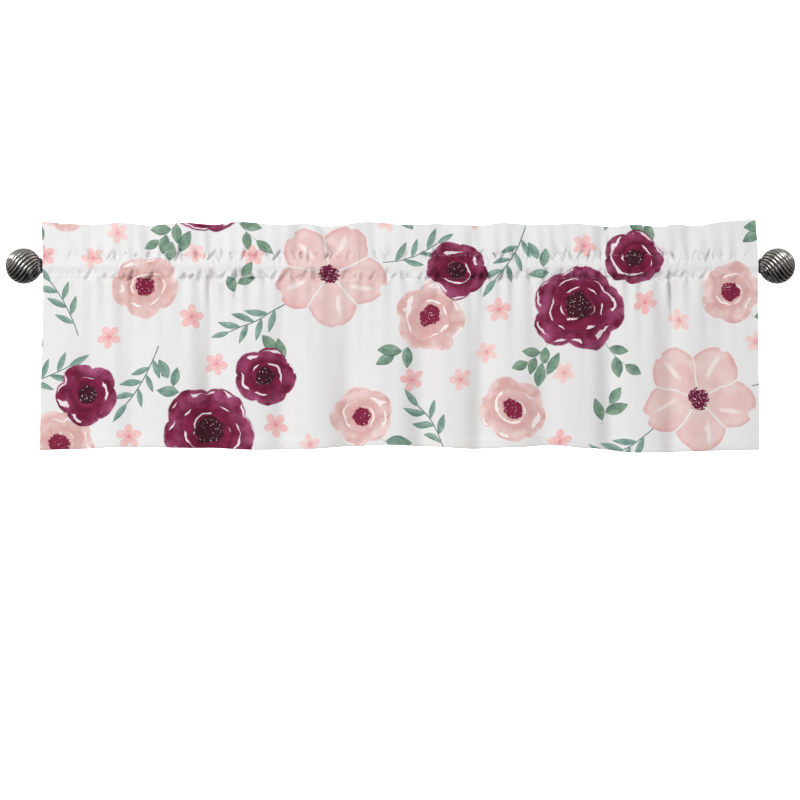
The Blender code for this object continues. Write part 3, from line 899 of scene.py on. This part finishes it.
def cloth_material(name, fade):
    """Printed cloth; fade is how far the print is washed out, for the reverse."""
    shader = Shader(name, roughness=0.82)
    cloth = shader.attribute("cloth")
    shade = (shader.noise(cloth, 9.0) * 0.9 + 0.5).clamped()
    white = shader.blend(shade, srgb("dcdbdb"), srgb("e1e0e0"))
    ground = paint_small(shader, white, cloth)
    ground = paint_stems(shader, ground, cloth)
    ground = paint_leaves(shader, ground, cloth, "leaf")
    ground = paint_leaves(shader, ground, cloth, "side_leaf")
    ground = paint_flowers(shader, ground, cloth)
    if fade:
        ground = shader.blend(fade, ground, white)
    shader.colour(ground)
    s, v, _ = shader.split(cloth)
    turns = 2 * math.pi / WEAVE_PITCH
    weave = (s * turns).sin() * (v * turns).sin()
    shader.bump(weave * 0.6 + shader.noise(cloth, 700.0), 0.00006, 0.5)
    shader.surface.inputs["Sheen Weight"].default_value = 0.08
    shader.surface.inputs["Sheen Roughness"].default_value = 0.5
    shader.surface.inputs["Specular IOR Level"].default_value = 0.25
    return shader.material


def evened(down):
    """Distances down the cloth, averaged over columns, so that small puckers don't bend the print."""
    padded = np.pad(down, ((0, 0), (PRINT_REACH, PRINT_REACH)), mode="edge")
    window = np.hanning(2 * PRINT_REACH + 3)[1:-1]
    return np.stack([np.convolve(row, window / window.sum(), mode="valid") for row in padded])


def build_cloth():
    shares = np.linspace(0, 1, COLUMNS + 1)
    pocket_x = mix(LEFT_SIDE.pocket, RIGHT_SIDE.pocket, shares)
    top, hem = edge_height(TOP_EDGE, pocket_x), edge_height(HEM_EDGE, pocket_x)
    rows = section_rows(top, hem)
    outer = place_rows(rows, shares, top, hem)
    lengths = np.linalg.norm(np.diff(outer, axis=0), axis=2)
    travelled = np.concatenate([np.zeros((1, COLUMNS + 1)), np.cumsum(lengths, axis=0)])
    fold_row = int(np.argmax(outer[:, COLUMNS // 2, 2]))
    down = evened(travelled[fold_row] - travelled)
    outer_cloth = np.stack([pocket_x + 0 * down, down, 0 * down], axis=2)

    ids = np.arange(0, COLUMNS + 1, REVERSE_STRIDE)
    half = CLOTH_THICKNESS / 2
    last = LOWER_STITCH - TURN_UNDER / 2
    reverse_rows = [(mix(hem + HEM_HEIGHT * 0.5, last, share), half, True) for share in eased(REVERSE_ROWS, 1.5)]
    inside = place_rows(reverse_rows, shares, top, hem)
    beside = np.pad(inside[..., 1], ((0, 0), (REVERSE_STRIDE, REVERSE_STRIDE)), mode="edge")
    neighbours = [beside[:, step : step + COLUMNS + 1] for step in range(2 * REVERSE_STRIDE + 1)]
    inside[..., 1] = np.max(neighbours, axis=0)
    inside = inside[:, ids]
    pinch = smooth(np.minimum(shares[ids], 1 - shares[ids]) / 0.002)
    inside[..., 1] -= CLOTH_THICKNESS * (1 - pinch)
    inside_down = top[ids] - inside[..., 2] + 0.004
    inside_cloth = np.stack([pocket_x[ids] + 0 * inside_down, inside_down, 0 * inside_down], axis=2)

    points = np.concatenate([outer.reshape(-1, 3), inside.reshape(-1, 3)])
    outer_faces = grid_faces(outer.shape[0], outer.shape[1], 0)
    inside_faces = grid_faces(inside.shape[0], inside.shape[1], outer[..., 0].size)[:, ::-1]
    faces = np.concatenate([outer_faces, inside_faces])
    kinds = np.concatenate([np.zeros(len(outer_faces), int), np.ones(len(inside_faces), int)])
    materials = [cloth_material("printed_cloth", 0.0), cloth_material("cloth_reverse", REVERSE_FADE)]
    made = make_mesh("valance_cloth", points, faces, materials, kinds)

    mesh = made.data
    cloth_points = np.concatenate([outer_cloth.reshape(-1, 3), inside_cloth.reshape(-1, 3)])
    add_vectors(mesh, "cloth", "POINT", cloth_points)
    corners = cloth_points[faces][..., :2]
    centres = corners.mean(axis=1)
    layers = place_motifs()
    for name, layer in layers.items():
        add_vectors(mesh, name, "CORNER", motif_coordinates(layer, name, centres, corners))
    # The front fills the lower part of the bake, the reverse the upper part
    bake = corners.copy()
    bake[..., 0] = (bake[..., 0] - LEFT_SIDE.hem) / (RIGHT_SIDE.hem - LEFT_SIDE.hem)
    low, high = down.min(), down.max()
    bake[..., 1] = (bake[..., 1] - low) / (high - low) * 0.62
    is_inside = kinds == 1
    bake[is_inside, :, 1] = bake[is_inside, :, 1] * 0.55 + 0.64
    mesh.uv_layers.new(name="OFBake").data.foreach_set("uv", bake.reshape(-1))
    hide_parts("valance")
    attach(made, "root")
    return made


# Stitching
STITCH_LENGTH = 0.0026
STITCH_STEP = 0.0033
THREAD_RADIUS = 0.00024
THREAD_SIDES = 5
HEM_INSET = 0.0015  # from the hem's upper edge down to its stitches

Seam = namedtuple("Seam", "name height offset is_front")
SEAMS = (
    Seam("upper_stitches_front", UPPER_STITCH, -0.88 * CLOTH_THICKNESS, True),
    Seam("lower_stitches_front", LOWER_STITCH, -0.375 * CLOTH_THICKNESS, True),
    Seam("upper_stitches_back", UPPER_STITCH, 1.2 * CLOTH_THICKNESS, False),
    Seam("lower_stitches_back", LOWER_STITCH - TURN_UNDER / 2, 1.6 * CLOTH_THICKNESS, False),
    Seam("hem_stitches_front", None, -0.6 * CLOTH_THICKNESS, True),
    Seam("hem_stitches_back", None, 1.05 * HEM_ROLL, False),
)


def points_on_seam(seam, shares):
    """Points on the cloth at shares of its width. A seam without a height follows the hem."""
    pocket_x = mix(LEFT_SIDE.pocket, RIGHT_SIDE.pocket, shares)
    top, hem = edge_height(TOP_EDGE, pocket_x), edge_height(HEM_EDGE, pocket_x)
    height = hem + HEM_HEIGHT - HEM_INSET if seam.height is None else seam.height + 0 * hem
    return place_rows([(height, seam.offset, seam.is_front)], shares, top, hem)[0]


def build_stitches(seam, material):
    """A row of short stitches across the cloth, each a spindle of thread."""
    width = RIGHT_SIDE.pocket - LEFT_SIDE.pocket
    count = int(width / STITCH_STEP) - 4
    starts = (np.arange(count) + 2) * STITCH_STEP / width
    half = STITCH_LENGTH / width
    ends = [points_on_seam(seam, starts + half * share) for share in (0.0, 0.3, 0.7, 1.0)]
    points, faces = [], []
    for index in range(count):
        base = len(points)
        points.append(ends[0][index])
        for ring in (1, 2):
            for side in range(THREAD_SIDES):
                angle = 2 * math.pi * side / THREAD_SIDES
                around = np.array((0.0, math.cos(angle), math.sin(angle))) * THREAD_RADIUS
                points.append(ends[ring][index] + around)
        points.append(ends[3][index])
        for side in range(THREAD_SIDES):
            following = (side + 1) % THREAD_SIDES
            a, b = base + 1 + side, base + 1 + following
            c, d = a + THREAD_SIDES, b + THREAD_SIDES
            faces.append((base, b, a))
            faces.append((a, b, d, c))
            faces.append((c, d, base + 1 + 2 * THREAD_SIDES))
    made = make_mesh(seam.name, np.array(points), faces, [material])
    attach(made, "root")
    return made


def build_stitching():
    shader = Shader("thread", roughness=0.6)
    geometry = shader.tree.nodes.new("ShaderNodeNewGeometry")
    tone = (shader.noise(geometry.outputs["Position"], 400.0) + 0.5).clamped()
    shader.colour(shader.blend(tone, srgb("cfcfcf"), srgb("e4e4e4")))
    return [build_stitches(seam, shader.material) for seam in SEAMS]


# Finials
RING_COUNT = 72
POINTS_A_RIB = 10
GROOVE_DEPTH = 0.0026
POLE_SHARE = 0.985  # how near the ribs come to the ball's tip
NECK_SIDES = 96
NECK_STEPS = 7
NECK_LENGTH = 0.0036
# How far the neck's colour goes from the dark metal colour towards the light one, the same all over
NECK_LIGHTNESS = 0.12
TIP_RUBBED = 0.6
ROD_WALL = 0.0012
METAL_ROUGHNESS = 0.24
SHARP_ANGLE = math.radians(50)


def metal_material(name, low, high):
    """Antique metal: dark in its hollows, lighter where worn ribs stand out; the same share also holds painted
    shade, darker towards the ball's underside.
    """
    shader = Shader(name, roughness=METAL_ROUGHNESS, metallic=1.0)
    where = shader.tree.nodes.new("ShaderNodeNewGeometry")
    # Lightness of the metal colour: wear on the rib crests, plus painted shade that darkens the ball's underside
    wear_and_shade, _, _ = shader.split(shader.attribute("worn_and_shaded"))
    patina = shader.noise(where.outputs["Position"], 160.0, 4.0)
    share = (wear_and_shade + patina * 0.5).clamped()
    shader.colour(shader.blend(share, srgb(low), srgb(high)))
    shader.bump(shader.noise(where.outputs["Position"], 900.0, 3.0), 0.0001, 0.06)
    rough = (METAL_ROUGHNESS - wear_and_shade * 0.09 + patina * 0.05).most(0.08)
    shader.tree.links.new(rough.socket, shader.surface.inputs["Roughness"])
    return shader.material


def grid_loop(rings, sides):
    """Quads between closed rings of points."""
    return [
        [r * sides + i, r * sides + (i + 1) % sides, (r + 1) * sides + (i + 1) % sides, (r + 1) * sides + i]
        for r in range(rings - 1)
        for i in range(sides)
    ]


def finish_metal(name, points, faces, wear_and_shade, material, side):
    """A metal piece; its faces are given for the left side and turned over on the right."""
    if side > 0:
        faces = [face[::-1] for face in faces]
    made = make_mesh(name, np.array(points), faces, [material])
    add_vectors(made.data, "worn_and_shaded", "POINT", np.array([(value, 0.0, 0.0) for value in wear_and_shade]))
    made.data.set_sharp_from_angle(angle=SHARP_ANGLE)
    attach(made, "root")
    return made


def build_ball(word, side, material):
    """A ball of rounded ribs that twist from pole to pole round the rod's axis."""
    low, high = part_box(f"finial_ball_{word}")
    seat = min(abs(low[0]), abs(high[0]))
    tip = max(abs(low[0]), abs(high[0]))
    centre = tip - BALL_RADIUS
    lowest = -math.acos((NECK_RADIUS - NECK_CHAMFER) / BALL_RADIUS)
    highest = math.pi / 2 * POLE_SHARE
    sides = BALL_RIBS * POINTS_A_RIB
    points, wear_and_shade = [], []
    for ring in range(RING_COUNT):
        latitude = mix(lowest, highest, ring / (RING_COUNT - 1))
        flat = min(1.0, math.cos(latitude) * 2.6)
        for index in range(sides):
            share = index / POINTS_A_RIB
            swell = abs(math.cos(math.pi * share)) ** 0.8
            radius = BALL_RADIUS - GROOVE_DEPTH * flat * (1 - swell)
            angle = 2 * math.pi * index / sides + RIB_TWIST * latitude
            across = radius * math.cos(latitude)
            x = side * max(seat, centre + radius * math.sin(latitude))
            points.append((x, -across * math.sin(angle), across * math.cos(angle)))
            # Worn rib crests are lighter; the factor on cos(angle) is painted shade, darker on the ball's
            # underside and lighter on its top
            wear_and_shade.append(swell**1.4 * mix(0.1, 1.0, smooth((math.cos(angle) + 0.8) / 1.6)))
    points.append((side * tip, 0.0, 0.0))
    wear_and_shade.append(TIP_RUBBED)
    faces = grid_loop(RING_COUNT, sides)
    last = (RING_COUNT - 1) * sides
    faces += [[last + i, last + (i + 1) % sides, len(points) - 1] for i in range(sides)]
    faces.append(list(range(sides))[::-1])
    made = finish_metal(f"ribbed_ball_{word}", points, faces, wear_and_shade, material, side)
    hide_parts(f"finial_ball_{word}")
    return made


def build_neck(word, side, material):
    """A collar with a rounded edge and a plug, turned round the rod's axis."""
    low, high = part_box(f"finial_neck_{word}")
    outer = max(abs(low[0]), abs(high[0]))
    plug_end = min(abs(low[0]), abs(high[0]))
    plug = ROD_RADIUS - ROD_WALL - FIT_GAP
    collar = outer - NECK_LENGTH
    ease = NECK_CHAMFER
    profile = [(plug_end, plug - ease), (plug_end + ease, plug), (collar, plug), (collar, NECK_RADIUS - ease)]
    middle, half = (collar + outer) / 2, (outer - collar) / 2
    for step in range(1, NECK_STEPS):
        a = math.pi * step / NECK_STEPS
        profile.append((middle - half * math.cos(a), NECK_RADIUS - ease + ease * math.sin(a)))
    profile.append((outer, NECK_RADIUS - ease))
    points = []
    for x, radius in profile:
        for index in range(NECK_SIDES):
            angle = 2 * math.pi * index / NECK_SIDES
            points.append((side * x, -radius * math.sin(angle), radius * math.cos(angle)))
    last = len(points) - NECK_SIDES
    faces = grid_loop(len(profile), NECK_SIDES)
    faces += [list(range(NECK_SIDES))[::-1], [last + i for i in range(NECK_SIDES)]]
    wear_and_shade = [NECK_LIGHTNESS] * len(points)
    made = finish_metal(f"turned_neck_{word}", points, faces, wear_and_shade, material, side)
    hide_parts(f"finial_neck_{word}")
    return made


# Camera, floor and light
PHOTO_WIDTH = 1.351  # the photo's width at the cloth, in metres
LENS = 85.0
SENSOR = 36.0
PHOTO_CENTRE = (-0.0008, -0.2263)
FLOOR_HEIGHT = -1.30
FLOOR_FRONT = -4.0
CURVE_START = 3.0
CURVE_RADIUS = 0.8
BACKDROP_TOP = 3.6
HALF_WIDTH = 6.0
SKY_STRENGTH = 0.46
GROUND_STRENGTH = 0.02
CLOTH_MIDDLE = (0.0, 0.0, -0.1)


def build_camera():
    data = bpy.data.cameras.new("camera")
    data.lens = LENS
    data.sensor_width = SENSOR
    camera = add_object("camera", data)
    distance = PHOTO_WIDTH * LENS / SENSOR
    camera.location = (PHOTO_CENTRE[0], -distance, PHOTO_CENTRE[1])
    camera.rotation_euler = (math.pi / 2, 0, 0)
    bpy.context.scene.camera = camera


def build_floor():
    """A pale floor that curves up into a backdrop."""
    profile = [(FLOOR_FRONT, FLOOR_HEIGHT), (CURVE_START, FLOOR_HEIGHT)]
    for a in np.linspace(0.1, math.pi / 2, 16):
        y = CURVE_START + CURVE_RADIUS * math.sin(a)
        profile.append((y, FLOOR_HEIGHT + CURVE_RADIUS * (1 - math.cos(a))))
    profile.append((CURVE_START + CURVE_RADIUS, BACKDROP_TOP))
    points = np.array([(x, y, z) for y, z in profile for x in (-HALF_WIDTH, HALF_WIDTH)])
    faces = grid_faces(len(profile), 2, 0)
    shader = Shader("studio_floor", roughness=0.9)
    shader.surface.inputs["Base Color"].default_value = srgb("d4d4d4")
    made = make_mesh("studio_floor", points, faces, [shader.material])


def add_light(name, place, aim, size, power):
    """A square area light; its size is in metres and its power in watts."""
    data = bpy.data.lights.new(name, "AREA")
    data.shape = "SQUARE"
    data.size = size
    data.energy = power
    light = add_object(name, data)
    light.location = place
    light.visible_camera = False
    light.rotation_euler = (Vector(aim) - Vector(place)).to_track_quat("-Z", "Y").to_euler()


def build_light():
    scene = bpy.context.scene
    scene.view_settings.view_transform = "Standard"
    world = bpy.data.worlds.new("studio")
    scene.world = world
    world.use_nodes = True
    background = world.node_tree.nodes["Background"]
    background.inputs["Color"].default_value = (1.0, 1.0, 1.0, 1.0)
    direction = world.node_tree.nodes.new("ShaderNodeTexCoord")
    split = world.node_tree.nodes.new("ShaderNodeSeparateXYZ")
    height = world.node_tree.nodes.new("ShaderNodeMapRange")
    height.inputs["From Min"].default_value = -1.0
    height.inputs["To Min"].default_value = GROUND_STRENGTH
    height.inputs["To Max"].default_value = SKY_STRENGTH
    world.node_tree.links.new(direction.outputs["Generated"], split.inputs["Vector"])
    world.node_tree.links.new(split.outputs["Z"], height.inputs["Value"])
    world.node_tree.links.new(height.outputs["Result"], background.inputs["Strength"])
    add_light("key", (-2.2, -4.0, 1.7), CLOTH_MIDDLE, 2.6, 178)
    add_light("fill", (2.6, -3.8, 1.4), CLOTH_MIDDLE, 1.6, 30)
    add_light("backdrop", (0.0, 1.9, 0.75), (0.0, 3.8, -0.25), 1.0, 230)


def main():
    build_camera()
    cloth = build_cloth()
    stitching = build_stitching()
    pewter = metal_material("antique_pewter", "090808", "e4e1db")
    for word, side in (("left", -1), ("right", 1)):
        build_ball(word, side, pewter)
        build_neck(word, side, pewter)
    steel = metal_material("rod_steel_dark", "3a3632", "6b655e")
    for material_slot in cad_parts["rod"].material_slots:
        material_slot.material = steel
    build_floor()
    build_light()


main()
